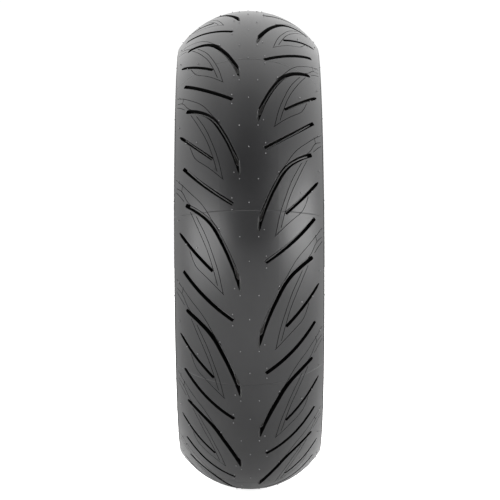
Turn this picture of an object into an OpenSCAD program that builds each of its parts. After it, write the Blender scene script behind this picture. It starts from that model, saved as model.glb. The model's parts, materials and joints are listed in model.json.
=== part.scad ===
// Rear tyre for a road motorcycle, 180 mm wide on a 17 inch rim, tubeless and radial.
// The wheel's axis is Y, +Z is up, and the origin is the wheel's centre.
// Every layer is built as it lies in the cured tyre: treads, belt, plies, beads, sidewalls.

/* [Fitment] */
// Diameter of the rim's bead seats
seat_d = 436.6; // [436.2:0.1:437]
// Distance between the rim's flanges
rim_w = 139.7; // [138:0.1:141]

/* [Tyre] */
// Diameter over the crown
tyre_od = 630; // [628:0.5:632]
// Radius of the crown arc, across the tread
crown_r = 109; // [108:0.5:110]
// Width across the two tread edges
tread_w = 180; // [178:0.5:181]
// Width across the widest points of the sidewalls
section_w = 182; // [181:0.5:184]

/* [Layers] */
// Thickness of the tread caps, which is also the depth of their grooves
cap_t = 6; // [4:0.5:6.5]
// Thickness of the rubber base under the caps, which is the floor of the grooves
base_t = 2.5; // [2:0.1:3]
// Thickness of each rubber skim of the belt
skim_t = 0.75; // [0.7:0.05:0.9]
// Thickness of each body ply
ply_t = 0.8; // [0.7:0.05:1]
// Thickness of the airtight liner
liner_t = 1.1; // [0.9:0.1:1.4]
// Arc of the harder centre cap, each side of the middle, in degrees
centre_arc = 19; // [15:0.5:24]
// Arc of the belt, each side of the middle, in degrees
belt_arc = 48; // [44:0.5:50]

/* [Cords and beads] */
// Diameter of a steel belt cord
cord_d = 0.9; // [0.7:0.1:1]
// Spacing of the belt's turns
cord_pitch = 2.5; // [2:0.1:4]
// Diameter of a bead wire
wire_d = 1.05; // [0.9:0.05:1.1]
// Spacing of the bead's wires
wire_pitch = 1.25; // [1.2:0.01:1.3]

/* [Tread pattern] */
// Number of times that the pattern repeats round the tyre
pitches = 14; // [12:1:15]
// Width of the long curved grooves
long_groove_w = 5.6; // [4:0.2:6]
// Width of the straighter grooves between them
cross_groove_w = 4.8; // [3:0.2:5]
// Width of the short grooves on the shoulder
short_groove_w = 4; // [2.4:0.2:4.4]

/* [Hidden] */

$fn = 180;
fine_step = 3;
small_step = 9;
seat_r = seat_d / 2;
heel = rim_w / 2;

// The section plane's points are [distance from the axis, distance from the middle].
// A station is [point, turn]: turn 0 runs across the crown, 90 down towards the bead.
function normal_of(turn) = [cos(turn), sin(turn)];
function travel_of(turn) = [-sin(turn), cos(turn)];
function lift(station, height) = station[0] + height * normal_of(station[1]);
function lifted(path, height) = [for (s = path) lift(s, height)];
function backward(list) = [for (i = [len(list) - 1:-1:0]) list[i]];
function last(list) = list[len(list) - 1];
function flipped(path) = [for (s = backward(path)) [[s[0][0], -s[0][1]], -s[1]]];
function both_sides(path) = concat(flipped(path), [for (i = [1:len(path) - 1]) path[i]]);

// A straight leg, and a bend of a signed radius through an angle of the same sign.
function leg(s, run) = [s[0] + run * travel_of(s[1]), s[1]];
function bend(s, radius, angle) =
    let (steps = ceil(abs(angle) / (abs(radius) > 20 ? fine_step : small_step)),
         centre = s[0] - radius * normal_of(s[1]))
    [for (i = [0:steps]) let (turn = s[1] + angle * i / steps)
        [centre + radius * normal_of(turn), turn]];

// crown: concentric arcs, from the road surface down to the inner face of the plies
crown_centre = tyre_od / 2 - crown_r;
cap_in = crown_r - cap_t;
base_in = cap_in - base_t;
cord_line = base_in - skim_t;
belt_in = cord_line - skim_t;
ply_out = 2 * ply_t;
ply_in = belt_in - ply_out;
edge_arc = asin(tread_w / 2 / crown_r);

// bead: a round bundle of wires, wrapped by a flipper and then by both plies
core_r = 3.2;
flipper_t = 0.5;
wrap_r = core_r + flipper_t + ply_out;
chafer_t = 1.4;
bead = [seat_r + chafer_t + wrap_r, heel - chafer_t - wrap_r];
bead_turn = 102;
reverse_r = 15;
lean_turn = 156;
shoulder_r = 15;

// The straight part of the side leans between the bead's curve and the shoulder bend,
// and is as long as it must be for the shoulder bend to meet the crown arc.
bead_start = bead - wrap_r * normal_of(bead_turn);
lean_foot = bead_start + reverse_r * (normal_of(bead_turn) - normal_of(lean_turn));
to_shoulder = lean_foot - [crown_centre, 0] - shoulder_r * normal_of(lean_turn);
up_lean = -travel_of(lean_turn);
along = to_shoulder * up_lean;
shoulder_gap = ply_in - shoulder_r;
lean_run = sqrt(along * along - to_shoulder * to_shoulder + shoulder_gap * shoulder_gap) - along;
shoulder = lean_foot + lean_run * up_lean - shoulder_r * normal_of(lean_turn);
shoulder_turn = atan2(shoulder[1], shoulder[0] - crown_centre);

// inner face of the plies, from the middle of the crown to the start of the bead
crown_top = [[crown_centre + ply_in, 0], 0];
crown_path = bend(crown_top, ply_in, shoulder_turn);
shoulder_path = bend(last(crown_path), shoulder_r, lean_turn - shoulder_turn);
reverse_path = bend([lean_foot, lean_turn], -reverse_r, bead_turn - lean_turn);
inner_path = concat(crown_path, shoulder_path, reverse_path);

// then under the bead wires, and up the outside of the filler to lie against the plies again
turn_up_r = 6;
wrap_path = bend([bead_start, bead_turn], -wrap_r, -90 - bead_turn);
turn_up_shift = turn_up_r * (normal_of(lean_turn - 180) - normal_of(-90));
turn_up_gap = (last(wrap_path)[0] + turn_up_shift - lean_foot) * normal_of(lean_turn);
turn_up_foot = leg(last(wrap_path), (turn_up_gap - 2 * ply_out) / sin(lean_turn - 90));
turn_up_path = bend(turn_up_foot, turn_up_r, lean_turn - 90);
carcass_path = concat(inner_path, wrap_path, turn_up_path);
outer_ply_end = 4;
inner_ply_end = 1;

// outside of the bead: toe, seat, heel, and the curve that rests on the rim's flange
toe_turn = 120;
taper_turn = 16;
toe_r = 2.2;
taper_r = 4;
taper_run = 2;
heel_r = 2.4;
face_run = 7;
flange_r = 6;
flange_arc = 80;
liner_end = [lift([bead_start, bead_turn], -liner_t), toe_turn];
toe_drop = liner_end[0][0] - seat_r - toe_r * (cos(taper_turn) - cos(toe_turn))
           - taper_run * sin(taper_turn) - taper_r * (1 - cos(taper_turn));
toe_bend = bend(leg(liner_end, toe_drop / sin(toe_turn)), -toe_r, taper_turn - toe_turn);
taper_bend = bend(leg(last(toe_bend), taper_run), -taper_r, -taper_turn);
seat_start = last(taper_bend)[0];
heel_bend = bend([[seat_r, heel - heel_r], 0], -heel_r, -90);
flange_bend = bend(leg(last(heel_bend), face_run), flange_r, flange_arc);
toe_path = concat(toe_bend, taper_bend);
chafer_path = concat([liner_end], toe_path, heel_bend, flange_bend);

// outside of the sidewall: a bulge about the centre of the shoulder bend, tangent to a line
// from the edge of the tread
bulge_r = section_w / 2 - shoulder[1];
tread_edge = [crown_centre, 0] + crown_r * normal_of(edge_arc);
edge_offset = tread_edge - shoulder;
bulge_from = atan2(edge_offset[1], edge_offset[0]) + acos(bulge_r / norm(edge_offset));
bulge_to = 150;
bulge_path = bend([shoulder + bulge_r * normal_of(bulge_from), bulge_from], bulge_r, bulge_to - bulge_from);

// belt: one cord wound side by side, between two skims that end at a station of the crown path
belt_path = [for (s = crown_path) if (s[1] <= belt_arc) s];
belt_turn = last(belt_path)[1];
cord_step = cord_pitch / cord_line * 180 / PI;
cord_turns = floor((belt_turn - cord_step / 2) / cord_step);

// tread pattern: the middle line of each groove, as [distance over the tread, degrees of turn]
pitch_angle = 360 / pitches;
pattern_turn = 16.7;
long_groove = [[11, 0], [14.5, 3.1], [21, 6.2], [32, 10.5], [48, 15.2], [66, 18], [84.5, 20.1]];
cross_groove = [[19.5, -6.6], [42, -3.9], [66, -0.6], [89, 3.9]];
short_groove = [[45, 4.3], [72, 8.8], [96, 13.4]];
// how wide the first and last point of each is, as a share of the groove's width
long_ends = [0.25, 0.7];
cross_ends = [0.8, 0.8];
short_ends = [0.8, 0.25];
cutter_clear = 8;

// where the section's pieces are parted round the bead
toe_steps = 8;
wrap_toe = [for (i = [0:toe_steps]) wrap_path[i]];
wrap_heel = [for (i = [toe_steps:len(wrap_path) - 1]) wrap_path[i]];
toe_strip_edge = [seat_r + chafer_t, last(wrap_toe)[0][1]];
flange_steps = 2;
chafer_inside = lifted([for (i = [flange_steps:len(flange_bend) - 1]) flange_bend[i]], chafer_t);
chafer_foot = [chafer_inside[0][0], bead[1] + wrap_r];
core_path = concat(wrap_path, bend(last(wrap_path), -wrap_r, bead_turn - 270));

// Colours of the rubbers, the cord fabrics and the steel.
tread_grey = [0.17, 0.17, 0.18];
side_grey = [0.12, 0.12, 0.13];
gum = [0.23, 0.2, 0.18];
fabric = [0.62, 0.5, 0.34];
brass = [0.75, 0.6, 0.33];
steel = [0.7, 0.7, 0.72];

// Ring about the wheel's axis, from a region of the section plane.
module ring() {
    rotate([-90, 0, 0]) rotate_extrude(convexity = 8) children();
}

// Region of the section plane on the left or on the right of the middle.
module on_side(side) {
    scale([1, side == "left" ? -1 : 1]) children();
}

// Band between two radii about the crown's centre, from one turn to another.
module crown_band(low, high, from, to) {
    reach = 2 * high;
    turns = [from, (2 * from + to) / 3, (from + 2 * to) / 3, to];
    translate([crown_centre, 0]) intersection() {
        difference() {
            circle(r = high);
            circle(r = low);
        }
        polygon(concat([[0, 0]], [for (turn = turns) reach * normal_of(turn)]));
    }
}

// Layer between two heights over a path.
module layer(path, low, high) {
    polygon(concat(lifted(path, low), backward(lifted(path, high))));
}

module body_ply_section(low, end) {
    path = concat(carcass_path, [leg(last(carcass_path), end)]);
    layer(both_sides(path), low, low + ply_t);
}

module plies_section() {
    body_ply_section(0, inner_ply_end);
    body_ply_section(ply_t, outer_ply_end);
}

module belt_skim_section(low, high) {
    difference() {
        layer(both_sides(belt_path), low, high);
        belt_cords_section();
    }
}

module belt_cords_section() {
    for (i = [-cord_turns:cord_turns])
        translate([crown_centre, 0] + cord_line * normal_of(i * cord_step))
            circle(d = cord_d, $fn = 8);
}

module bead_wires_section() {
    row_gap = wire_pitch * sin(60);
    for (row = [-2:2], i = [0:4 - abs(row)])
        translate(bead + [row * row_gap, (i - (4 - abs(row)) / 2) * wire_pitch])
            circle(d = wire_d, $fn = 8);
}

module bead_core_section() {
    difference() {
        polygon(lifted(core_path, wrap_r - core_r));
        bead_wires_section();
    }
}

module bead_filler_section() {
    difference() {
        polygon(concat([bead], lifted([last(wrap_path)], ply_out), lifted(turn_up_path, ply_out),
                       lifted(reverse_path, ply_out)));
        polygon(lifted(core_path, wrap_r - core_r));
    }
}

module toe_strip_section() {
    polygon(concat(lifted(wrap_toe, 0), [toe_strip_edge], backward(lifted(toe_path, chafer_t))));
}

module chafer_section() {
    polygon(concat(lifted(chafer_path, 0), backward(chafer_inside), [chafer_foot],
                   backward(lifted(wrap_heel, 0)), [toe_strip_edge],
                   backward(lifted(toe_path, chafer_t)), [bead_start]));
}

module sidewall_section() {
    inner_end = leg(last(turn_up_path), inner_ply_end);
    outer_end = leg(last(turn_up_path), outer_ply_end);
    polygon(concat([tread_edge], lifted(bulge_path, 0),
                   [last(chafer_path)[0]], backward(chafer_inside), [chafer_foot], lifted(turn_up_path, 0),
                   [inner_end[0], lift(inner_end, ply_t), lift(outer_end, ply_t), lift(outer_end, ply_out)],
                   backward(lifted(shoulder_path, ply_out)),
                   [[crown_centre, 0] + belt_in * normal_of(edge_arc)]));
}

// A groove's points on the plane that touches the crown at the middle of the groove's turn.
function on_plane(line, middle) = [for (p = line)
    let (across = p[0] / crown_r * 180 / PI)
    [crown_r * sin(across), (crown_centre + crown_r * cos(across)) * sin(p[1] - middle)]];
function heading(points, i) =
    let (step = points[min(i + 1, len(points) - 1)] - points[max(i - 1, 0)]) step / norm(step);
function share(ends, i, count) = i == 0 ? ends[0] : i == count - 1 ? ends[1] : 1;
function groove_side(points, half, ends) = [for (i = [0:len(points) - 1])
    let (h = heading(points, i)) points[i] + half * share(ends, i, len(points)) * [-h[1], h[0]]];

// Cutter of one groove, straight down at the middle of its turn.
module groove(line, width, ends) {
    middle = (line[0][1] + last(line)[1]) / 2;
    points = on_plane(line, middle);
    low = crown_centre + cap_in * cos(last(line)[0] / crown_r * 180 / PI) - cutter_clear;
    rotate([0, -middle, 0]) rotate([90, 0, 90]) translate([0, 0, low])
        linear_extrude(tyre_od / 2 + cutter_clear - low)
            polygon(concat(groove_side(points, width / 2, ends),
                           backward(groove_side(points, -width / 2, ends))));
}

// Cutters of one side's grooves, all the way round. The right side is half a pitch behind the left.
module side_grooves(side, with_short) {
    left = side == "left";
    mirror([0, left ? 1 : 0, 0]) for (i = [0:pitches - 1])
        rotate([0, -pattern_turn - (left ? i : i - 0.5) * pitch_angle, 0]) {
            groove(long_groove, long_groove_w, long_ends);
            groove(cross_groove, cross_groove_w, cross_ends);
            if (with_short) groove(short_groove, short_groove_w, short_ends);
        }
}

// Ring of a tread cap, cut down to the base by the children.
module tread_cap(side, from, to) {
    color(tread_grey) difference() {
        ring() on_side(side) crown_band(cap_in, crown_r, from, to);
        children();
    }
}

module tread_centre() {
    tread_cap("right", -centre_arc, centre_arc) {
        side_grooves("left", false);
        side_grooves("right", false);
    }
}

module tread_shoulder(side) {
    tread_cap(side, centre_arc, edge_arc) side_grooves(side, true);
}

module tread_base() {
    color(gum) ring() crown_band(base_in, cap_in, -edge_arc, edge_arc);
}

module belt_skim(low) {
    color(gum) ring() belt_skim_section(ply_out + low, ply_out + low + skim_t);
}

module belt_cord_winding() {
    color(brass) ring() belt_cords_section();
}

module belt_edge_strip(side) {
    color(gum) ring() on_side(side) crown_band(belt_in, base_in, belt_turn, edge_arc);
}

module body_ply(low, end) {
    color(fabric) ring() body_ply_section(low, end);
}

module inner_liner() {
    color(side_grey) ring() layer(both_sides(inner_path), -liner_t, 0);
}

module bead_wire(side) {
    color(steel) ring() on_side(side) bead_wires_section();
}

module bead_core(side) {
    color(gum) ring() on_side(side) bead_core_section();
}

module bead_flipper(side) {
    color(fabric) ring() on_side(side) layer(wrap_path, ply_out, ply_out + flipper_t);
}

module bead_filler(side) {
    color(gum) ring() on_side(side) bead_filler_section();
}

module toe_strip(side) {
    color(side_grey) ring() on_side(side) toe_strip_section();
}

module chafer(side) {
    color(side_grey) ring() on_side(side) chafer_section();
}

module sidewall(side) {
    color(side_grey) ring() on_side(side) sidewall_section();
}

tread_centre();
tread_shoulder("left");  // tread_shoulder_left
tread_shoulder("right");  // tread_shoulder_right
tread_base();
belt_skim(skim_t);  // belt_skim_outer
belt_cord_winding();
belt_skim(0);  // belt_skim_inner
belt_edge_strip("left");  // belt_edge_strip_left
belt_edge_strip("right");  // belt_edge_strip_right
body_ply(ply_t, outer_ply_end);  // body_ply_outer
body_ply(0, inner_ply_end);  // body_ply_inner
inner_liner();
bead_wire("left");  // bead_wire_left
bead_wire("right");  // bead_wire_right
bead_core("left");  // bead_core_left
bead_core("right");  // bead_core_right
bead_flipper("left");  // bead_flipper_left
bead_flipper("right");  // bead_flipper_right
bead_filler("left");  // bead_filler_left
bead_filler("right");  // bead_filler_right
toe_strip("left");  // toe_strip_left
toe_strip("right");  // toe_strip_right
chafer("left");  // chafer_left
chafer("right");  // chafer_right
sidewall("left");  // sidewall_left
sidewall("right");  // sidewall_right
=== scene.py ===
# %% [markdown]
# # A rear motorcycle tyre, piece by piece
# The tyre stands on its tread, with its axle along Y. The CAD model is loaded as a fixed frame.
# The layers that nobody sees keep their CAD shape and get a finish of their own. The surfaces
# that show (tread, sidewalls, bead skins and liner) are modelled again here with their detail.

# %% Load the frame
import bpy
import bmesh
import json
import math
from mathutils import Matrix, Vector

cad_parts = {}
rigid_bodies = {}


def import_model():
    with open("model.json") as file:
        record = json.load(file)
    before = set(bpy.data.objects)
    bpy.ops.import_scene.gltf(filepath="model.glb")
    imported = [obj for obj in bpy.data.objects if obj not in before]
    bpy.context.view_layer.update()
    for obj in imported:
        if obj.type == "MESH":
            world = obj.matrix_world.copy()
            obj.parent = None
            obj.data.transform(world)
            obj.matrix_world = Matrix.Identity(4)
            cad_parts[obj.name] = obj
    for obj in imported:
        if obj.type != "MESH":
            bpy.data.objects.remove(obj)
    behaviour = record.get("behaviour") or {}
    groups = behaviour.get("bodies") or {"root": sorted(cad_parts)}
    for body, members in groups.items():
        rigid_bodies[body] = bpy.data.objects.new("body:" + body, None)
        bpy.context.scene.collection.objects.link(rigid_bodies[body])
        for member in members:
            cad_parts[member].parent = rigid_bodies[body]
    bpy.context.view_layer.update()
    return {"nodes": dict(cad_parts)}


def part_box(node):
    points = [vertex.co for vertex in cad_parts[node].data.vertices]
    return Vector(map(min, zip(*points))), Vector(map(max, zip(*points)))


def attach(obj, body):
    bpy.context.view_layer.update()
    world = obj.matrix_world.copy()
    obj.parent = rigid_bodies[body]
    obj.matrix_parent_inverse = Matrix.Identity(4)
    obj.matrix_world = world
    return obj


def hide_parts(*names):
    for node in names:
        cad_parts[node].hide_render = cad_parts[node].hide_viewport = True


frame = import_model()
MM = 0.001

# %% [markdown]
# ## The tyre's driving sizes
# Almost everything follows from a few sizes of a tyre: the radius over the crown, half the width
# of the tread and of the sidewalls, the radius of the crown's own arc, and the seat on the rim.
# The first three are read from the frame, so that they can't drift from the CAD model. A groove's
# floor lies a little above the layer below the caps, so that no two faces share a place.

# %% Sizes, in millimetres
TYRE_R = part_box("tread_centre")[1].z / MM
EDGE_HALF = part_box("tread_shoulder_right")[1].y / MM
SIDE_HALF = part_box("sidewall_right")[1].y / MM
SEAT_R = 218.3
CROWN_R = 109.0
CROWN_CENTRE = TYRE_R - CROWN_R
CAP_T = 7.3
EDGE_ARC = math.asin(EDGE_HALF / CROWN_R)
EDGE_S = EDGE_ARC * CROWN_R
CENTRE_ARC = math.radians(19)
CENTRE_S = CENTRE_ARC * CROWN_R
PITCHES = 14
PITCH = 2 * math.pi * TYRE_R / PITCHES
PATTERN_TURN = 16.7
GROOVE_DEPTH = 5.9
print(f"crown radius {TYRE_R:.1f}, tread edge at {EDGE_S:.1f} over the crown, pitch {PITCH:.1f}")

# %% [markdown]
# ## From a flat strip to the crown
# A tread pattern is drawn flat: one axis over the crown from edge to edge, the other along the
# circumference. A mould maker then wraps it. The same is done here, because grooves are easy to
# cut in a flat strip: `wrap` bends a point (over, along, height) onto the crown. A pattern's
# length is given as an angle, so that its repeats close exactly after a whole turn.

# %% Wrapping
def wrap(over, along, height):
    tilt, turn, reach = over / CROWN_R, along / TYRE_R, CROWN_R + height
    radius = CROWN_CENTRE + reach * math.cos(tilt)
    return Vector((radius * math.cos(turn), reach * math.sin(tilt), radius * math.sin(turn))) * MM


def degrees_along(turn):
    return math.radians(turn) * TYRE_R


# %% [markdown]
# ## Helpers for finished pieces
# Each piece is made in a bmesh, then becomes an object that stands at the origin and rides on
# the tyre's one body. Rubber edges are rounded, so faces are smooth, except where two of them
# meet at more than the crease angle.

# %% Making an object of a bmesh
CREASE = math.radians(38)


def make_piece(bm, name, finishes, replaces=(), crease=CREASE):
    for face in bm.faces:
        face.smooth = True
    for edge in bm.edges:
        edge.smooth = len(edge.link_faces) == 2 and edge.calc_face_angle(0) < crease
    mesh = bpy.data.meshes.new(name)
    bm.to_mesh(mesh)
    bm.free()
    for finish in finishes:
        mesh.materials.append(finish)
    piece = bpy.data.objects.new(name, mesh)
    bpy.context.scene.collection.objects.link(piece)
    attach(piece, "root")
    if replaces:
        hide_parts(*replaces)
    print(f"{name}: {sum(len(p.vertices) - 2 for p in mesh.polygons)} triangles")
    return piece


# %% [markdown]
# ## Materials
# A tyre is black all over, so what tells its rubbers apart is how each surface was made. Every
# rubber below is two near-blacks, clouded and roughened by noise at a real size.
# `add` puts one node in a tree: its type, its settings, and what its inputs hold or link to.

# %% Building node trees
def linear(code):
    parts = [int(code[i:i + 2], 16) / 255 for i in (1, 3, 5)]
    return tuple(c / 12.92 if c <= 0.04045 else ((c + 0.055) / 1.055) ** 2.4 for c in parts) + (1.0,)


def add(tree, kind, inputs=None, **settings):
    made = tree.nodes.new("ShaderNode" + kind)
    for key, value in settings.items():
        setattr(made, key, value)
    for key, value in (inputs or {}).items():
        if isinstance(value, bpy.types.NodeSocket):
            tree.links.new(value, made.inputs[key])
        else:
            made.inputs[key].default_value = value
    return made


def blank_material(name):
    material = bpy.data.materials.new(name)
    material.use_nodes = True
    tree = material.node_tree
    shader = tree.nodes["Principled BSDF"]
    where = add(tree, "TexCoord").outputs["Object"]
    return material, tree, shader, where


def set_up(tree, shader, **values):
    for key, value in values.items():
        socket = shader.inputs[key.replace("_", " ")]
        if isinstance(value, bpy.types.NodeSocket):
            tree.links.new(value, socket)
        else:
            socket.default_value = value


def grain(tree, where, size_mm, detail=3.0):
    inputs = {"Vector": where, "Scale": 1 / (size_mm * MM), "Detail": detail}
    return add(tree, "TexNoise", inputs).outputs["Fac"]


def between(tree, factor, low, high):
    return add(tree, "MapRange", {"Value": factor, "To Min": low, "To Max": high}).outputs["Result"]


def tint(tree, factor, *stops):
    ramp = add(tree, "ValToRGB", {"Fac": factor})
    marks = ramp.color_ramp.elements
    while len(marks) < len(stops):
        marks.new(0.5)
    for mark, (place, code) in zip(marks, stops):
        mark.position, mark.color = place, linear(code)
    return ramp.outputs["Color"]


def bumped(tree, height, depth_mm, before=None):
    inputs = {"Height": height, "Strength": 1.0, "Distance": depth_mm * MM}
    if before is not None:
        inputs["Normal"] = before
    return add(tree, "Bump", inputs).outputs["Normal"]


def sum_of(tree, first, second, operation="ADD"):
    return add(tree, "Math", {0: first, 1: second}, operation=operation).outputs[0]


def blend(tree, factor, first, second):
    return add(tree, "MixRGB", {"Fac": factor, "Color1": first, "Color2": second}).outputs["Color"]


def ramp_between(tree, value, low, high, out_low=0.0, out_high=1.0):
    inputs = {"Value": value, "From Min": low, "From Max": high, "To Min": out_low, "To Max": out_high}
    return add(tree, "MapRange", inputs).outputs["Result"]


# %% [markdown]
# A pattern on a tyre follows its own two directions. `turn_of` is the angle round the axle, and
# `depth_of` is how far a point lies below the crown's surface, so a finish can tell a groove's
# wall and floor from the land beside it.

# %% The tyre's own directions
def turn_of(tree, where):
    parts = add(tree, "SeparateXYZ", {"Vector": where}).outputs
    return sum_of(tree, parts["Z"], parts["X"], "ARCTAN2")


def depth_of(tree, where):
    parts = add(tree, "SeparateXYZ", {"Vector": where}).outputs
    disc = add(tree, "CombineXYZ", {"X": parts["X"], "Y": parts["Z"]}).outputs[0]
    radius = add(tree, "VectorMath", {0: disc}, operation="LENGTH").outputs["Value"]
    rise = sum_of(tree, radius, CROWN_CENTRE * MM, "SUBTRACT")
    arm = add(tree, "CombineXYZ", {"X": rise, "Y": parts["Y"]}).outputs[0]
    reach = add(tree, "VectorMath", {0: arm}, operation="LENGTH").outputs["Value"]
    return sum_of(tree, CROWN_R * MM, reach, "SUBTRACT")


# %% [markdown]
# ### Tread rubber
# A new tread is moulded against polished steel, so it is matt with a soft satin sheen where light
# grazes it, and it carries a thin film of mould release that clouds it in patches as wide as a
# hand. A fine line shows where the nine segments of the mould met, every 40 degrees.

# %% Tread rubber material
SEGMENTS = 9
SEGMENT_TURN = 8.65


def away_from_joint(tree, where):
    """How far a point is from the nearest joint of the mould's segments, as a share of a segment."""
    segment = sum_of(tree, turn_of(tree, where), 2 * math.pi / SEGMENTS, "DIVIDE")
    shifted = sum_of(tree, segment, 0.5 - SEGMENT_TURN * SEGMENTS / 360)
    part = add(tree, "Math", {0: shifted}, operation="FRACT").outputs[0]
    away = sum_of(tree, part, 0.5, "SUBTRACT")
    return add(tree, "Math", {0: away}, operation="ABSOLUTE").outputs[0]


def tread_rubber():
    material, tree, shader, where = blank_material("tread_rubber_moulded")
    cloud = grain(tree, where, 90, 2.0)
    speck = grain(tree, where, 1.2)
    film = sum_of(tree, cloud, between(tree, speck, -0.06, 0.06))
    land = tint(tree, film, (0.3, "#1b1b1c"), (0.7, "#262627"))
    line_half = 0.6 / (TYRE_R * 2 * math.pi / SEGMENTS)
    flash = ramp_between(tree, away_from_joint(tree, where), line_half, 0.0)
    land = blend(tree, sum_of(tree, flash, 0.6, "MULTIPLY"), land, linear("#0c0c0c"))
    fine = bumped(tree, speck, 0.05)
    set_up(tree, shader, Base_Color=land, IOR=1.5, Roughness=between(tree, film, 0.3, 0.42),
           Normal=bumped(tree, flash, 0.3, fine))
    return material


TREAD_RUBBER = tread_rubber()

# %% [markdown]
# A groove is moulded by a narrow steel fin, whose blasted sides leave the rubber's walls rough and
# free of film. The walls are painted near-black and reflect little light. This is painted shade,
# for the shade that falls deep in a narrow groove. The floor has a paler line, and so has the ramp
# by which a long groove runs out near the middle. Both are painted highlights.

# %% Groove rubber material
def groove_rubber():
    material, tree, shader, where = blank_material("tread_rubber_groove_painted_shade")
    depth = depth_of(tree, where)
    # Masks for painted highlights: a paler line along the floor, and the ramp at a long groove's tip.
    floor = ramp_between(tree, depth, (GROOVE_DEPTH - 0.14) * MM, (GROOVE_DEPTH - 0.04) * MM)
    over = add(tree, "SeparateXYZ", {"Vector": where}).outputs["Y"]
    from_middle = add(tree, "Math", {0: over}, operation="ABSOLUTE").outputs[0]
    tip = ramp_between(tree, from_middle, 12.2 * MM, 11.6 * MM)
    painted_highlight = sum_of(tree, floor, tip, "MAXIMUM")
    shader.inputs["Specular IOR Level"].default_value = 0.08
    # The near-black is painted shade on the walls, and the pale grey is the painted highlight.
    set_up(tree, shader, Base_Color=blend(tree, painted_highlight, linear("#020202"), linear("#6e6e6e")),
           Roughness=0.9, IOR=1.5, Normal=bumped(tree, grain(tree, where, 0.7), 0.05))
    return material


GROOVE_RUBBER = groove_rubber()

# %% [markdown]
# ## The grooves
# A groove is one section swept along a line, so the cutter is a curve with a bevel section: walls
# that lean 3 degrees, a rounded floor, and lips that flare where they meet the road surface. A
# point's radius scales the section, which lets a groove run out to a sharp tip.

# %% Groove cutters
cutters = bpy.data.collections.new("groove_cutters")
bpy.context.scene.collection.children.link(cutters)


def section_curve(name, corners):
    curve = bpy.data.curves.new(name, "CURVE")
    curve.dimensions = "2D"
    spline = curve.splines.new("POLY")
    spline.points.add(len(corners) - 1)
    for point, (x, y) in zip(spline.points, corners):
        point.co = (x, y, 0, 1)
    spline.use_cyclic_u = True
    holder = bpy.data.objects.new(name, curve)
    cutters.objects.link(holder)
    return holder


def groove_section(name, width, depth, lip=0.35, lean=3):
    half = width / 2
    side = [(half + lip + 2.2, 1.4)]
    for angle in (12, 40, 68):
        a = math.radians(angle)
        side.append((half + lip - lip * math.sin(a), -lip + lip * math.cos(a)))
    fillet = width * 0.36
    foot = half - (depth - fillet) * math.tan(math.radians(lean))
    side += [(foot, -depth + fillet), (foot - fillet * 0.3, -depth + fillet * 0.3), (foot - fillet, -depth)]
    return section_curve(name, side + [(-x, y) for x, y in reversed(side)])


def sweep(name, line, section, resolution=5):
    curve = bpy.data.curves.new(name, "CURVE")
    curve.dimensions = "2D"
    curve.resolution_u = resolution
    curve.bevel_mode = "OBJECT"
    curve.bevel_object = section
    curve.use_fill_caps = True
    spline = curve.splines.new("BEZIER")
    spline.bezier_points.add(len(line) - 1)
    for point, (over, turn, *share) in zip(spline.bezier_points, line):
        point.co = (over, degrees_along(turn), 0)
        point.handle_left_type = point.handle_right_type = "AUTO"
        point.radius = share[0] if share else 1
    holder = bpy.data.objects.new(name, curve)
    bpy.context.scene.collection.objects.link(holder)
    bpy.context.view_layer.update()
    mesh = bpy.data.meshes.new_from_object(holder.evaluated_get(bpy.context.evaluated_depsgraph_get()))
    bpy.data.objects.remove(holder)
    bm = bmesh.new()
    bm.from_mesh(mesh)
    bpy.data.meshes.remove(mesh)
    bmesh.ops.remove_doubles(bm, verts=bm.verts[:], dist=0.001)
    bmesh.ops.recalc_face_normals(bm, faces=bm.faces[:])
    return bm


# %% [markdown]
# The pattern has three cut grooves on each side of the middle: a long one that starts as a point
# near the middle and curls over the shoulder, a straighter one below it, and a short one on the
# shoulder. Points are (over the crown in mm, degrees of turn from the long groove's tip), and
# a third number where the groove is narrower or wider there than its own width.

# %% The grooves' lines
LONG_GROOVE = [(11, 0, 0.15), (11.9, 0.9, 0.7), (14.5, 3.1, 1.1), (21, 6.2), (32, 10.5), (48, 15.2),
               (66, 18), (82.5, 19.85), (84.5, 20.1, 0.7)]
CROSS_GROOVE = [(19.5, -6.6, 0.8), (20.6, -6.45), (42, -3.75), (66, -0.2), (88, 3.7), (89, 3.9, 0.8)]
SHORT_GROOVE = [(45, 4.3, 0.8), (46, 4.45), (72, 8.8), (92, 12.6), (96, 13.4, 0.4)]
wide = groove_section("long_section", 5.6, GROOVE_DEPTH)
middling = groove_section("cross_section", 4.8, GROOVE_DEPTH)
narrow = groove_section("short_section", 4.0, GROOVE_DEPTH)
engraved = section_curve("engraved_section", [(0.5, 0.2), (0.0, -0.6), (-0.5, 0.2)])
grooves = [sweep("long_groove", LONG_GROOVE, wide), sweep("cross_groove", CROSS_GROOVE, middling),
           sweep("short_groove", SHORT_GROOVE, narrow)]

# %% [markdown]
# Fine engraved lines run beside the grooves like the veins of a leaf. They are decoration, half a
# millimetre deep, so a three-cornered section is enough for them.

# %% The engraved lines
ENGRAVED = [
    [(103, 27.4), (88, 24.8), (76, 22.6), (63, 20.3), (54, 18.2), (45, 15.5), (35, 13.0)],
    [(102, 25.1), (91.5, 23.7), (82.2, 20.9), (77, 19.9)],
    [(103, 24.05), (95.5, 22.7), (87.7, 21.1)],
    [(89.6, 25.5), (92.5, 23.7)],
    [(77, 18.2), (68, 15), (60, 12), (52, 8.8), (45, 5), (39, 1.1)],
    [(68, 17), (62, 15), (54, 12.2), (45, 8), (38, 4.2), (32, -0.6)],
    [(78, 9.0), (70, 5.6), (64, 4.4)],
    [(64, 4.4), (50, 2.3), (31, -0.9)],
]
veins = [sweep(f"vein_{i}", line, engraved, resolution=3) for i, line in enumerate(ENGRAVED)]
print("cutter faces:", [len(bm.faces) for bm in grooves + veins])

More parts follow.
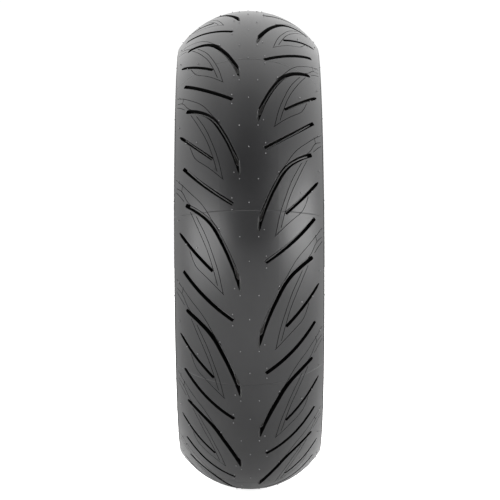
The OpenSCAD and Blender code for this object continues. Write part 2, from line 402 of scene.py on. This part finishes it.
# %% [markdown]
# ## One pitch of the tread
# The pattern repeats 14 times, so one flat tile is cut and then copied. A groove is longer than
# the tile, so each cutter stands in it several times, one pitch apart. The right side is the left
# side's mirror image, half a pitch round. A tile is a thin slab on a 4 mm grid, fine enough to
# bend smoothly, and the cut is a Boolean with the exact solver.

# %% Cutting a tile
CELL = 4.0


def place_cutters(shapes, side, over_from, over_to):
    holders = []
    for shape in shapes:
        for repeat in (-1, 0, 1, 2):
            bm = shape.copy()
            shift = degrees_along(PATTERN_TURN) + (repeat + (0 if side < 0 else -0.5)) * PITCH
            bmesh.ops.translate(bm, verts=bm.verts[:], vec=(0, shift, 0))
            if side < 0:
                bmesh.ops.scale(bm, verts=bm.verts[:], vec=(-1, 1, 1))
                bmesh.ops.reverse_faces(bm, faces=bm.faces[:])
            places = [v.co for v in bm.verts]
            inside = (min(p.y for p in places) < PITCH and max(p.y for p in places) > 0
                      and min(p.x for p in places) < over_to and max(p.x for p in places) > over_from)
            if inside:
                mesh = bpy.data.meshes.new("cutter")
                bm.to_mesh(mesh)
                holder = bpy.data.objects.new("cutter", mesh)
                cutters.objects.link(holder)
                holders.append(holder)
            bm.free()
    return holders


def cut_tile(over_from, over_to):
    bm = bmesh.new()
    cells = (max(2, round((over_to - over_from) / CELL)), round(PITCH / CELL))
    bmesh.ops.create_grid(bm, x_segments=cells[0], y_segments=cells[1], size=0.5)
    bmesh.ops.scale(bm, verts=bm.verts[:], vec=(over_to - over_from, PITCH, 1))
    bmesh.ops.translate(bm, verts=bm.verts[:], vec=((over_to + over_from) / 2, PITCH / 2, 0))
    bmesh.ops.solidify(bm, geom=bm.faces[:], thickness=CAP_T)
    top = max(v.co.z for v in bm.verts)
    bmesh.ops.translate(bm, verts=bm.verts[:], vec=(0, 0, -top))
    bmesh.ops.recalc_face_normals(bm, faces=bm.faces[:])
    mesh = bpy.data.meshes.new("tile")
    bm.to_mesh(mesh)
    bm.free()
    tile = bpy.data.objects.new("tile", mesh)
    bpy.context.scene.collection.objects.link(tile)
    holders = [h for side in (-1, 1) for h in place_cutters(grooves + veins, side, over_from, over_to)]
    for holder in holders:
        cut = tile.modifiers.new("cut", "BOOLEAN")
        cut.operation, cut.solver, cut.object = "DIFFERENCE", "EXACT", holder
    bpy.context.view_layer.update()
    cut_mesh = bpy.data.meshes.new_from_object(tile.evaluated_get(bpy.context.evaluated_depsgraph_get()))
    bpy.data.objects.remove(tile)
    for holder in holders:
        bpy.data.objects.remove(holder)
    bm = bmesh.new()
    bm.from_mesh(cut_mesh)
    bpy.data.meshes.remove(cut_mesh)
    return bm


# %% [markdown]
# The tile's two end walls are taken off, so that neighbouring tiles join into one ring. Flat
# many-sided faces are split into triangles before they are bent, because a bent one isn't flat.
# Faces below the land take the groove material, which paints them with shade.

# %% Wrapping the tiles into a ring
LAND_DEEP = 0.12


def ring_of_tiles(over_from, over_to):
    tile = cut_tile(over_from, over_to)
    ends = [f for f in tile.faces if all(v.co.y < 0.01 for v in f.verts)
            or all(v.co.y > PITCH - 0.01 for v in f.verts)]
    bmesh.ops.delete(tile, geom=ends, context="FACES")
    many = [f for f in tile.faces if len(f.verts) > 4]
    bmesh.ops.triangulate(tile, faces=many)
    # Faces inside a groove get material 1, whose near-black is painted shade.
    for face in tile.faces:
        deep = -face.calc_center_median().z
        face.material_index = 1 if LAND_DEEP < deep < GROOVE_DEPTH + LAND_DEEP else 0
    for vert in tile.verts:
        vert.co = wrap(*vert.co)
    tile_faces = tile.faces[:]
    bmesh.ops.spin(tile, geom=tile.verts[:] + tile.edges[:] + tile_faces, axis=(0, 1, 0), cent=(0, 0, 0),
                   angle=-2 * math.pi * (PITCHES - 1) / PITCHES, steps=PITCHES - 1, use_duplicate=True)
    bmesh.ops.remove_doubles(tile, verts=tile.verts[:], dist=0.02 * MM)
    bmesh.ops.recalc_face_normals(tile, faces=tile.faces[:])
    return tile


def open_edges(bm):
    return sum(1 for e in bm.edges if len(e.link_faces) != 2)


CAPS = (("tread_shoulder_left", -EDGE_S, -CENTRE_S), ("tread_centre", -CENTRE_S, CENTRE_S),
        ("tread_shoulder_right", CENTRE_S, EDGE_S))
for name, over_from, over_to in CAPS:
    ring = ring_of_tiles(over_from, over_to)
    print(name, "open edges:", open_edges(ring))
    cap = make_piece(ring, name + "_cut", [TREAD_RUBBER, GROOVE_RUBBER], [name])
    weigh = cap.modifiers.new("even_shading", "WEIGHTED_NORMAL")
    weigh.keep_sharp = True

for holder in list(cutters.objects):
    bpy.data.objects.remove(holder)
bpy.data.collections.remove(cutters)

# %% [markdown]
# ## Vent nibs on the tread
# Air leaves the mould through holes of a millimetre or two, and the rubber after it leaves a
# short nib at each. They are tiny and there are many, so one with eight sides is copied. A nib
# keeps to its own place in the pattern, so its copies are spun one pitch apart. Its end is torn
# rubber, free of film, which is paler than the land.

# %% Nib material, a nib, and rings of them
NIB_R, NIB_ROOT = 0.75, 0.4
NIB_RUBBER, nib_tree, nib_shader, nib_where = blank_material("nib_rubber_torn")
torn = tint(nib_tree, grain(nib_tree, nib_where, 3), (0.3, "#5a5a5b"), (0.7, "#8c8c8d"))
set_up(nib_tree, nib_shader, Base_Color=torn, Roughness=0.55, IOR=1.5)


def nib(length):
    bm = bmesh.new()
    bmesh.ops.create_cone(bm, cap_ends=True, segments=8, radius1=NIB_R, radius2=NIB_R * 0.8,
                          depth=length + NIB_ROOT)
    bmesh.ops.translate(bm, verts=bm.verts[:], vec=(0, 0, (length - NIB_ROOT) / 2))
    return bm


def copy_round(bm, count):
    """Copies of all that a bmesh holds, evenly round the axle."""
    bmesh.ops.spin(bm, geom=bm.verts[:] + bm.edges[:] + bm.faces[:], axis=(0, 1, 0), cent=(0, 0, 0),
                   angle=-2 * math.pi * (count - 1) / count, steps=count - 1, use_duplicate=True)


def join_in(whole, part):
    """Adds a bmesh to another one, and frees it."""
    mesh = bpy.data.meshes.new("part")
    part.to_mesh(mesh)
    part.free()
    whole.from_mesh(mesh)
    bpy.data.meshes.remove(mesh)


NIB_PLACES = [(11.3, -0.95), (-11.3, -0.95), (0, -6.3), (18, 0.6), (20.5, -5.2), (20.5, -7.8),
              (36.5, 13.8), (67, 9.6), (84, 10.5), (98, 1.0), (98, 16.5)]
nibs = bmesh.new()
for side in (-1, 1):
    for over, turn in NIB_PLACES:
        one = nib(1.0)
        shift = degrees_along(PATTERN_TURN + turn) - (0 if side < 0 else PITCH / 2)
        for vert in one.verts:
            vert.co = wrap(side * over + vert.co.x, shift + vert.co.y, vert.co.z)
        join_in(nibs, one)
copy_round(nibs, PITCHES)
bmesh.ops.recalc_face_normals(nibs, faces=nibs.faces[:])
make_piece(nibs, "tread_vent_nibs", [NIB_RUBBER])

# %% [markdown]
# ## Drawing a section with a turtle
# Sidewalls, bead skins and the liner are rings, so each is a section turned about the axle. A
# section is straight runs and arcs, and a turtle draws those in the order in which a draughtsman
# would name them. Its points are (distance from the middle, distance from the axle).

# %% A turtle for sections
ARC_STEP = 7


def trace(start, heading, moves):
    """Moves are ("run", length), ("bend", radius, angle) or ("turn", angle); left is positive."""
    points, place = [Vector(start)], Vector(start)
    for move in moves:
        ahead = Vector((math.cos(math.radians(heading)), math.sin(math.radians(heading))))
        if move[0] == "run":
            points.append(place + ahead * move[1])
        elif move[0] == "bend":
            left = Vector((-ahead.y, ahead.x))
            centre = place + left * math.copysign(move[1], move[2])
            steps = max(2, round(abs(move[2]) / ARC_STEP))
            points += [centre + Matrix.Rotation(math.radians(move[2] * i / steps), 2) @ (place - centre)
                       for i in range(1, steps + 1)]
        heading += move[-1] if move[0] != "run" else 0
        place = points[-1]
    return points


def turned(section, side, steps):
    """The closed ring that a closed section makes, on the left (-1) or the right (1)."""
    bm = bmesh.new()
    verts = [bm.verts.new((0, side * y * MM, r * MM)) for y, r in section]
    face = bm.faces.new(verts)
    edges = face.edges[:]
    bmesh.ops.delete(bm, geom=[face], context="FACES_ONLY")
    bmesh.ops.spin(bm, geom=verts + edges, axis=(0, 1, 0), cent=(0, 0, 0),
                   angle=2 * math.pi, steps=steps, use_merge=True)
    bmesh.ops.recalc_face_normals(bm, faces=bm.faces[:])
    return bm


# %% [markdown]
# ## Sidewalls
# A sidewall is thin rubber over the plies: a short flat from the edge of the tread, then a bulge
# down to the rim's flange. `on_side` finds a point of it from how far down it lies and how far it
# stands off, so that both the section and the marks on it are given in millimetres of rubber.

# %% The sidewall's surface
EDGE = Vector((EDGE_HALF, CROWN_CENTRE + CROWN_R * math.cos(EDGE_ARC)))
BULGE_C = Vector((67.353, 253.469))
BULGE_R = SIDE_HALF - BULGE_C.x
BULGE_FROM, BULGE_TO = math.radians(85.64), math.radians(150)
flat_end = BULGE_C + Vector((math.sin(BULGE_FROM), math.cos(BULGE_FROM))) * BULGE_R
FLAT = (flat_end - EDGE).length
SIDE_DOWN = FLAT + BULGE_R * (BULGE_TO - BULGE_FROM)
print(f"the side is {SIDE_DOWN:.1f} mm from the tread's edge to the flange, {FLAT:.1f} of it flat")


def on_side(down, lift=0.0):
    if down < FLAT:
        ahead = (flat_end - EDGE) / FLAT
        return EDGE + ahead * down + Vector((-ahead.y, ahead.x)) * lift
    angle = BULGE_FROM + (down - FLAT) / BULGE_R
    return BULGE_C + Vector((math.sin(angle), math.cos(angle))) * (BULGE_R + lift)


# %% [markdown]
# The mould cuts ridges round the side. They hide small faults in the rubber, frame the field in
# the middle, and the highest one, near the flange, shows a fitter that the bead sits true.

# %% The sidewall's section
FIELD = (11.5, 26.5)
FIELD_DEEP = 0.9


def ridge(middle, width, height):
    half = width / 2
    foot = half + 0.25
    return [(middle - foot, 0), (middle - half, height), (middle + half, height), (middle + foot, 0)]


field = [(FIELD[0] + (FIELD[1] - FIELD[0]) * i / 6, -FIELD_DEEP) for i in range(7)]
relief = ([(0, 0)] + ridge(2.2, 1.0, 0.8) + ridge(9.4, 1.0, 0.8) + [(FIELD[0] - 0.5, 0)] + field
          + [(FIELD[1] + 0.5, 0)] + ridge(28.6, 1.0, 0.8) + ridge(31.4, 1.0, 0.8) + [(33.4, 0)]
          + ridge(35.4, 1.6, 1.4) + [(37.4, 0), (SIDE_DOWN, 0)])
FLANGE_END = Vector((74.808, 233.609))
PLY_OVER, PLY_OUT_R = 16.6, 99.0
side_inside = trace((68.45, 229.96), 90, [("run", 0.18), ("bend", 6, -66)])
side_inside += [BULGE_C + Vector((math.sin(a), math.cos(a))) * PLY_OVER
                for a in (math.radians(156 - 8.4 * i) for i in range(13))]
to_edge = Vector((math.sin(EDGE_ARC), math.cos(EDGE_ARC)))
side_inside.append(Vector((0, CROWN_CENTRE)) + PLY_OUT_R * to_edge)
skin_back = trace((68.80, 229.96), 72.2, [("bend", 7.4, -62.2)])
side_section = [on_side(*place) for place in relief] + [FLANGE_END] + skin_back[::-1] + side_inside
print(len(side_section), "points in the section")

# %% [markdown]
# ### Sidewall rubber
# A sidewall is a softer, oilier compound than the tread, moulded against a mill-finished plate.
# That gives the eye a darker, slightly glossier black with a fine grain and faint rings.

# %% Sidewall rubber material
def moulded_rubber(name, dark, light, rough, cloud_mm=60, grain_mm=0.9, grain_deep=0.04, ior=1.52):
    material, tree, shader, where = blank_material(name)
    cloud = grain(tree, where, cloud_mm, 2.0)
    speck = grain(tree, where, grain_mm)
    colour = tint(tree, cloud, (0.3, dark), (0.7, light))
    set_up(tree, shader, Base_Color=colour, Roughness=between(tree, cloud, rough - 0.05, rough + 0.06),
           IOR=ior, Normal=bumped(tree, speck, grain_deep))
    return material


SIDE_RUBBER = moulded_rubber("sidewall_rubber_moulded", "#19191a", "#232324", 0.4)
# The raised marks are painted paler than the side. This is a painted highlight for the light that their
# relief catches.
MARK_RUBBER = moulded_rubber("sidewall_rubber_raised_mark_painted_highlight", "#444445", "#535354", 0.3)
SIDE_STEPS = 336
for side, word in ((-1, "left"), (1, "right")):
    ring = turned(side_section, side, SIDE_STEPS)
    print("open edges:", open_edges(ring))
    make_piece(ring, f"sidewall_{word}_ribbed", [SIDE_RUBBER], [f"sidewall_{word}"])

# %% [markdown]
# ## Marks on the sidewall
# The marks stand half a millimetre to a millimetre off the side. Each is made flat, as (down the
# side, round the tyre, height) in millimetres, then sliced every few millimetres so that it can
# bend, and laid on the side. They mean something to a fitter, but none of them is lettering: combs of
# fine bars, an arrow for the way of rotation, small triangles over the wear bars, blank panels.

# %% Flat marks
SUNK = 0.3


def slice_up(bm, axis, step):
    low, high = (pick(v.co[axis] for v in bm.verts) for pick in (min, max))
    normal = Vector([1.0 if i == axis else 0.0 for i in range(3)])
    cuts = math.ceil((high - low) / step)
    for i in range(1, cuts):
        bmesh.ops.bisect_plane(bm, geom=bm.verts[:] + bm.edges[:] + bm.faces[:],
                               plane_co=normal * (low + (high - low) * i / cuts), plane_no=normal)


def raised(bm, height, slices=(3.0, 6.0)):
    """Thickens flat faces into a closed mark that stands height off the side."""
    walls = bmesh.ops.extrude_face_region(bm, geom=bm.faces[:])
    lifted = [v for v in walls["geom"] if isinstance(v, bmesh.types.BMVert)]
    bmesh.ops.translate(bm, verts=lifted, vec=(0, 0, height + SUNK))
    bmesh.ops.translate(bm, verts=bm.verts[:], vec=(0, 0, -SUNK))
    for axis, step in enumerate(slices):
        slice_up(bm, axis, step)
    return bm


def laid(bm, side, turn):
    """Bends a flat mark onto the side, at an angle round the tyre."""
    for vert in bm.verts:
        y, r = on_side(vert.co.x, vert.co.z)
        angle = math.radians(turn) + vert.co.y / r
        vert.co = Vector((r * math.cos(angle), side * y, r * math.sin(angle))) * MM
    return bm


def flat_shape(corners):
    bm = bmesh.new()
    bm.faces.new([bm.verts.new((down, along, 0)) for down, along in corners])
    return bm


def bar(down_from, down_to, width):
    half = width / 2
    return flat_shape([(down_from, -half), (down_to, -half), (down_to, half), (down_from, half)])


def panel_frame(down_from, down_to, length, line):
    bm = bar(down_from, down_to, length)
    bmesh.ops.inset_region(bm, faces=bm.faces[:], thickness=line, use_even_offset=True)
    middle = min(bm.faces, key=lambda f: max(abs(v.co.y) for v in f.verts))
    bmesh.ops.delete(bm, geom=[middle], context="FACES_ONLY")
    return bm


def arrow(length, width, head):
    tail, tip, middle = -length / 2, length / 2, (FIELD[0] + FIELD[1]) / 2
    neck, wing = width / 2, width * 1.5
    half = [(middle + neck, tail), (middle + neck, tip - head), (middle + wing, tip - head)]
    return flat_shape(half + [(middle, tip)] + [(2 * middle - d, a) for d, a in reversed(half)])


# %% [markdown]
# Bars repeat many times, so one is laid and then copied round the axle. The combs fill a narrow
# band under the tread all the way round, and two long stretches of the field. Vent nibs stand in
# two rings, as on the tread.

# %% Laying the marks
COMB_BARS = 280
FIELD_BARS, FIELD_TURN = 48, 58.0
WEAR_BARS, SIDE_VENTS = 6, 14


def side_marks(side):
    marks = bmesh.new()
    comb = laid(raised(bar(3.8, 7.8, 2.6), 0.9, (6.0, 6.0)), side, 0)
    copy_round(comb, COMB_BARS)
    join_in(marks, comb)
    for start in (16, 196):
        hatch = laid(raised(bar(FIELD[0] + 2, FIELD[1] - 2, 1.8), 0.5, (3.0, 6.0)), side, start)
        one_bar = hatch.verts[:] + hatch.edges[:] + hatch.faces[:]
        bmesh.ops.spin(hatch, geom=one_bar, axis=(0, 1, 0), cent=(0, 0, 0),
                       angle=-math.radians(FIELD_TURN), steps=FIELD_BARS, use_duplicate=True)
        join_in(marks, hatch)
    for turn in (0, 180):
        join_in(marks, laid(raised(arrow(50, 4.2, 16), 0.8), side, turn + 94))
        join_in(marks, laid(raised(panel_frame(13.5, 24.5, 56, 1.6), 0.7), side, turn - 4))
        join_in(marks, laid(raised(panel_frame(14.0, 24.0, 34, 1.6), 0.7), side, turn + 118))
    for turn in range(WEAR_BARS):
        triangle = flat_shape([(3.4, -4), (8.4, 0), (3.4, 4)])
        join_in(marks, laid(raised(triangle, 1.1), side, 360 / WEAR_BARS * turn + 11.5))
    for turn in range(SIDE_VENTS):
        for down in (10.4, 33.6):
            one = nib(1.2)
            bmesh.ops.translate(one, verts=one.verts[:], vec=(down, 0, 0))
            join_in(marks, laid(one, side, 360 / SIDE_VENTS * turn + 3 + down))
    bmesh.ops.recalc_face_normals(marks, faces=marks.faces[:])
    return marks


for side, word in ((-1, "left"), (1, "right")):
    make_piece(side_marks(side), f"sidewall_{word}_marks", [MARK_RUBBER])

# %% [markdown]
# ## Bead skins
# The chafer is the tough skin that grips the rim: down from the flange's curve, round the heel,
# along the seat and round the toe. It is cured against a steel bead ring, with a rubbered cloth
# just under its surface, so the weave shows through as a shallow check.

# %% The bead skin's section
skin = trace((56.890, 226.331), -120,
             [("run", 4.746), ("bend", 2.2, 104), ("run", 2), ("bend", 4, 16), ("run", 8.609),
              ("bend", 2.4, 90), ("run", 2.2), ("turn", -65), ("run", 0.4), ("turn", 65), ("run", 1.0),
              ("turn", 65), ("run", 0.4), ("turn", -65), ("run", 3.46), ("bend", 6, -80)])
print("the flange curve ends at", [round(v, 2) for v in skin[-1]])
heel_back = trace((68.45, 229.96), -90, [("run", 4.96), ("bend", 5.3, -122.2)])
toe_back = trace((58.10, 225.63), -120, [("run", 4.746), ("bend", 0.8, 104), ("run", 2), ("bend", 2.6, 16)])
skin_section = skin + skin_back[::-1] + heel_back + [Vector((60.326, 219.7))] + toe_back[::-1]
skin_section.append(Vector((57.966, 226.102)))

# %% Chafer material
THREAD_MM = 1.6


def chafer_rubber():
    material, tree, shader, where = blank_material("chafer_rubber_cloth_backed")
    parts = add(tree, "SeparateXYZ", {"Vector": where}).outputs
    across = sum_of(tree, sum_of(tree, parts["Y"], 2 * math.pi / (THREAD_MM * MM), "MULTIPLY"), 0.0, "SINE")
    threads = round(2 * math.pi * SEAT_R / THREAD_MM)
    round_it = sum_of(tree, sum_of(tree, turn_of(tree, where), threads, "MULTIPLY"), 0.0, "SINE")
    weave = sum_of(tree, across, round_it, "MULTIPLY")
    cloud = grain(tree, where, 40, 2.0)
    colour = tint(tree, cloud, (0.3, "#1d1d1e"), (0.7, "#2b2b2c"))
    set_up(tree, shader, Base_Color=colour, Roughness=0.5, IOR=1.52, Normal=bumped(tree, weave, 0.06))
    return material


CHAFER_RUBBER = chafer_rubber()
CHAFER_STEPS = 252
for side, word in ((-1, "left"), (1, "right")):
    ring = turned(skin_section, side, CHAFER_STEPS)
    print("open edges:", open_edges(ring))
    make_piece(ring, f"chafer_{word}_moulded", [CHAFER_RUBBER], [f"chafer_{word}"])

# %% [markdown]
# ## Inner liner
# The liner is cured against an inflated bladder. The bladder has shallow vents from bead to bead,
# so its print on the liner is dozens of thin ridges. Every fourth column of points on the
# inner face is moved inwards a little, which makes those ridges without a point more.

# %% The liner's section and its ridges
LINER_STEPS, LINER_RIDGE = 288, 0.45
CAVITY_R = 262
side_moves = [("bend", 97.4, -54.82), ("bend", 15, -101.18), ("run", 7.572), ("bend", 15, 54)]
outer_half = trace((0, CROWN_CENTRE + 97.4), 0, side_moves)
inner_half = trace((0, CROWN_CENTRE + 96.3), 0,
                   [(kind, size if kind == "run" else size + (1.1 if turn[0] > 0 else -1.1), *turn)
                    for kind, size, *turn in side_moves])
print("the liner ends at", [round(v, 2) for v in outer_half[-1]], [round(v, 2) for v in inner_half[-1]])


def mirrored(half):
    return [Vector((-y, r)) for y, r in reversed(half)] + half[1:]


liner = turned(mirrored(outer_half) + mirrored(inner_half)[::-1], 1, LINER_STEPS)
liner.normal_update()
for vert in liner.verts:
    column = round(math.atan2(vert.co.z, vert.co.x) / (2 * math.pi / LINER_STEPS))
    cavity = Vector((vert.co.x, 0, vert.co.z)).normalized() * CAVITY_R * MM
    if column % 4 == 0 and vert.normal.dot(cavity - vert.co) > 0:
        vert.co += vert.normal * LINER_RIDGE * MM
print("open edges:", open_edges(liner))
LINER_RUBBER = moulded_rubber("liner_rubber_bladder_cured", "#1b1b1d", "#2a2a2c", 0.4, 120, 2.5, 0.12)
make_piece(liner, "inner_liner_ridged", [LINER_RUBBER], ["inner_liner"], math.radians(60))

# %% [markdown]
# ## Finishes for the hidden layers
# The layers under the skins keep their CAD shape, because their shape is simple and the cords and
# wires are already there. What they lack is a finish, and each of them is made in its own way:
# rubber is calendered or extruded, fabric is woven or laid as cords, and steel is plated.

# %% Dressing a CAD node
def dress(material, *nodes):
    for node in nodes:
        materials = frame["nodes"][node].data.materials
        materials.clear()
        materials.append(material)
    print(material.name, "on", ", ".join(nodes))


# %% [markdown]
# Calendered rubber comes from between hot rolls, so it is even and dull. The filler is extruded
# from a hard compound and is smoother. Skims are browner, because they hold less carbon black and
# the cobalt that helps them grip brass.

# %% Plain rubbers
dress(moulded_rubber("base_rubber_calendered", "#272523", "#363331", 0.62, 50, 1.5, 0.03), "tread_base")
dress(moulded_rubber("skim_rubber_calendered", "#2d2822", "#3c362e", 0.58, 50, 1.5, 0.03),
      "belt_skim_outer", "belt_skim_inner", "belt_edge_strip_left", "belt_edge_strip_right")
dress(moulded_rubber("core_rubber_insulation", "#1f1e1d", "#2c2a29", 0.5, 30, 1.0, 0.02),
      "bead_core_left", "bead_core_right", "toe_strip_left", "toe_strip_right")
dress(moulded_rubber("filler_rubber_extruded", "#262321", "#322e2b", 0.38, 70, 3.0, 0.02),
      "bead_filler_left", "bead_filler_right")

# %% [markdown]
# A body ply is a sheet of rayon cords side by side, dipped and rubbered. They run from bead to
# bead, so their ridges lie side by side round the tyre. The flipper is a square-woven nylon
# cloth, so its ridges cross.

# %% Cord fabrics
CORD_MM, CLOTH_MM = 1.2, 0.9


def waves(tree, value, count):
    return sum_of(tree, sum_of(tree, value, count, "MULTIPLY"), 0.0, "SINE")


def fabric(name, dark, light, thread_mm, radius_mm, woven):
    material, tree, shader, where = blank_material(name)
    ribs = waves(tree, turn_of(tree, where), round(2 * math.pi * radius_mm / thread_mm))
    if woven:
        across = add(tree, "SeparateXYZ", {"Vector": where}).outputs["Y"]
        ribs = sum_of(tree, ribs, waves(tree, across, 2 * math.pi / (thread_mm * MM)), "MULTIPLY")
    colour = tint(tree, ramp_between(tree, ribs, -1, 1), (0.2, dark), (0.8, light))
    set_up(tree, shader, Base_Color=colour, Roughness=0.72, IOR=1.5, Normal=bumped(tree, ribs, 0.12))
    return material


dress(fabric("rayon_cord_ply_rubbered", "#2c241b", "#6b5334", CORD_MM, 300, False),
      "body_ply_outer", "body_ply_inner")
dress(fabric("nylon_flipper_cloth_woven", "#3a3226", "#7d6a49", CLOTH_MM, 225, True),
      "bead_flipper_left", "bead_flipper_right")

# %% [markdown]
# Belt cord is brass-plated steel strand, and bead wire is bronze-plated. Both platings are only
# there to bond with rubber, so they are thin, drawn and slightly streaky. Strand is twisted, and
# its wires cross the cord at a slant, which the eye sees as fine diagonal lines.

# %% Steels
STRAND_MM, STRAND_SLANT = 2.4, 2500.0


def plated_steel(name, dark, light, rough, strand_radius=None):
    material, tree, shader, where = blank_material(name)
    cloud = grain(tree, where, 8, 2.0)
    shape = bumped(tree, grain(tree, where, 0.4), 0.01)
    if strand_radius:
        twists = round(2 * math.pi * strand_radius / STRAND_MM)
        along = sum_of(tree, turn_of(tree, where), twists, "MULTIPLY")
        aside = add(tree, "SeparateXYZ", {"Vector": where}).outputs["Y"]
        across = sum_of(tree, aside, STRAND_SLANT, "MULTIPLY")
        shape = bumped(tree, waves(tree, sum_of(tree, along, across), 1.0), 0.08, shape)
    set_up(tree, shader, Base_Color=tint(tree, cloud, (0.3, dark), (0.7, light)), Metallic=1.0,
           Roughness=rough, Normal=shape)
    return material


dress(plated_steel("steel_cord_brass_plated", "#a07c42", "#c6a262", 0.32, 306), "belt_cord_winding")
dress(plated_steel("bead_wire_bronze_plated", "#7c5c3c", "#a07a52", 0.36),
      "bead_wire_left", "bead_wire_right")

# %% [markdown]
# ## Stage, light and camera
# A black, satin thing is drawn by what it mirrors. The studio is a pale paper floor and a cove
# that is bright behind the tyre and at its sides, and dark where the camera stands. So the tread
# is darkest in its middle and turns pale towards its edges. The floor is lit behind the tyre
# only, for the same reason, and the camera itself sees both as plain white.

# %% Stage
FLOOR_HALF = 40
FLOOR_WHITE = 0.85


def stage_floor():
    bm = bmesh.new()
    bmesh.ops.create_grid(bm, x_segments=1, y_segments=1, size=FLOOR_HALF)
    bmesh.ops.translate(bm, verts=bm.verts[:], vec=(0, 0, -TYRE_R * MM))
    mesh = bpy.data.meshes.new("studio_floor")
    bm.to_mesh(mesh)
    bm.free()
    floor = bpy.data.objects.new("studio_floor", mesh)
    bpy.context.scene.collection.objects.link(floor)
    material, tree, shader, where = blank_material("pale_paper_floor")
    seen = add(tree, "LightPath").outputs["Is Camera Ray"]
    across = add(tree, "SeparateXYZ", {"Vector": where}).outputs["X"]
    behind = ramp_between(tree, across, 0.12, -0.3, 0.03, FLOOR_WHITE)
    lit = add(tree, "Mix", {"Factor": seen, "A": behind, "B": FLOOR_WHITE}).outputs["Result"]
    set_up(tree, shader, Base_Color=linear("#f4f4f4"), Roughness=0.9, Emission_Color=linear("#ffffff"),
           Emission_Strength=lit)
    mesh.materials.append(material)


stage_floor()

# %% Cove
world = bpy.data.worlds.new("studio")
bpy.context.scene.world = world
world.use_nodes = True
sky = world.node_tree
for old in list(sky.nodes):
    sky.nodes.remove(old)
seen = add(sky, "LightPath").outputs["Is Camera Ray"]
direction = add(sky, "SeparateXYZ", {"Vector": add(sky, "TexCoord").outputs["Generated"]}).outputs
aside = add(sky, "Math", {0: direction["Y"]}, operation="ABSOLUTE").outputs[0]
front = sum_of(sky, direction["X"], sum_of(sky, aside, 0.9, "MULTIPLY"), "SUBTRACT")
cove = ramp_between(sky, front, 0.5, -0.9, 0.02, 1.8)
glow = add(sky, "Background", {"Color": linear("#ffffff"), "Strength": cove})
white = add(sky, "Background", {"Color": linear("#ffffff"), "Strength": 1.05})
mixed = add(sky, "MixShader", {0: seen, 1: glow.outputs[0], 2: white.outputs[0]})
add(sky, "OutputWorld", {"Surface": mixed.outputs[0]})


# %% [markdown]
# Three soft boxes do the rest: a large one above and a little behind, and one at each side of the
# camera, the left one lower and closer to the camera's line. Each faces the tyre's centre.

# %% Soft boxes
def soft_light(name, place, size, power):
    light = bpy.data.lights.new(name, "AREA")
    light.shape, light.size, light.size_y, light.energy = "RECTANGLE", size[0], size[1], power
    lamp = bpy.data.objects.new(name, light)
    bpy.context.scene.collection.objects.link(lamp)
    lamp.location = place
    lamp.rotation_euler = (Vector((0, 0, 0)) - Vector(place)).to_track_quat("-Z", "Y").to_euler()
    lamp.visible_camera = False
    return lamp


soft_light("top_light", (-0.3, 0.0, 2.6), (2.4, 2.4), 12)
soft_light("left_light", (1.8, -2.4, 0.15), (2.6, 1.2), 62)
soft_light("right_light", (1.3, 2.7, 0.5), (2.4, 1.2), 70)

# %% [markdown]
# The camera stands level with the axle and looks straight at the tread from ten radii away, so
# a long lens keeps the tyre's sides nearly parallel. It is rolled by 0.3 degrees.

# %% Camera
camera = bpy.data.cameras.new("camera")
camera.lens = 171.3
camera.sensor_width = 36
camera.shift_x = 0.0014
ROLL = 0.3
eye = bpy.data.objects.new("camera", camera)
bpy.context.scene.collection.objects.link(eye)
eye.location = (10 * TYRE_R * MM, 0, 0)
eye.rotation_euler = (math.radians(90), math.radians(ROLL), math.radians(90))
bpy.context.scene.camera = eye
bpy.context.scene.view_settings.view_transform = "Standard"
